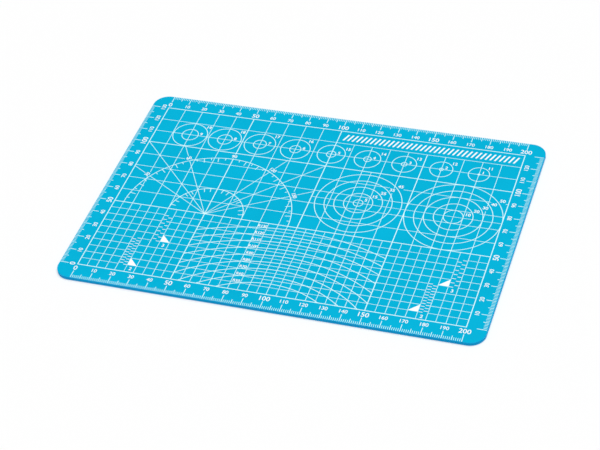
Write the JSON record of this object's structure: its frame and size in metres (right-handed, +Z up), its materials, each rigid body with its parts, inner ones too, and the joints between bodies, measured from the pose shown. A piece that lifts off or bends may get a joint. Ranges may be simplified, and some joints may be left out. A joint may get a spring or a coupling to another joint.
{
  "type": "cutting mat",
  "caption": "Rounded rectangular self-healing cutting mat in three plies, with printed edge scales, grid, protractor, circle, arc and stitch templates.",
  "frame": {"origin": "centre of the underside, where the mat rests on the table", "axes": "+X along the length in the reading direction, +Y away from the user, +Z up out of the printed face"},
  "size_m": [0.22, 0.15, 0.002],
  "materials": {
    "soft_pvc": "matte, finely grained cyan blue soft PVC",
    "stiff_core": "die-cut edge of a stiffer blue PVC sheet",
    "white_ink": "matte white screen-printed ink"
  },
  "bodies": {
    "root": {"top_ply": "soft_pvc", "core_ply": "stiff_core", "bottom_ply": "soft_pvc", "front_scale": "white_ink", "back_scale": "white_ink", "left_scale": "white_ink", "right_scale": "white_ink", "field_grid": "white_ink", "circle_row": "white_ink", "small_rings": "white_ink", "large_rings": "white_ink", "protractor": "white_ink", "rounding_arcs": "white_ink", "left_stitch_guides": "white_ink", "right_stitch_guides": "white_ink", "title_bar": "white_ink"}
  },
  "joints": []
}
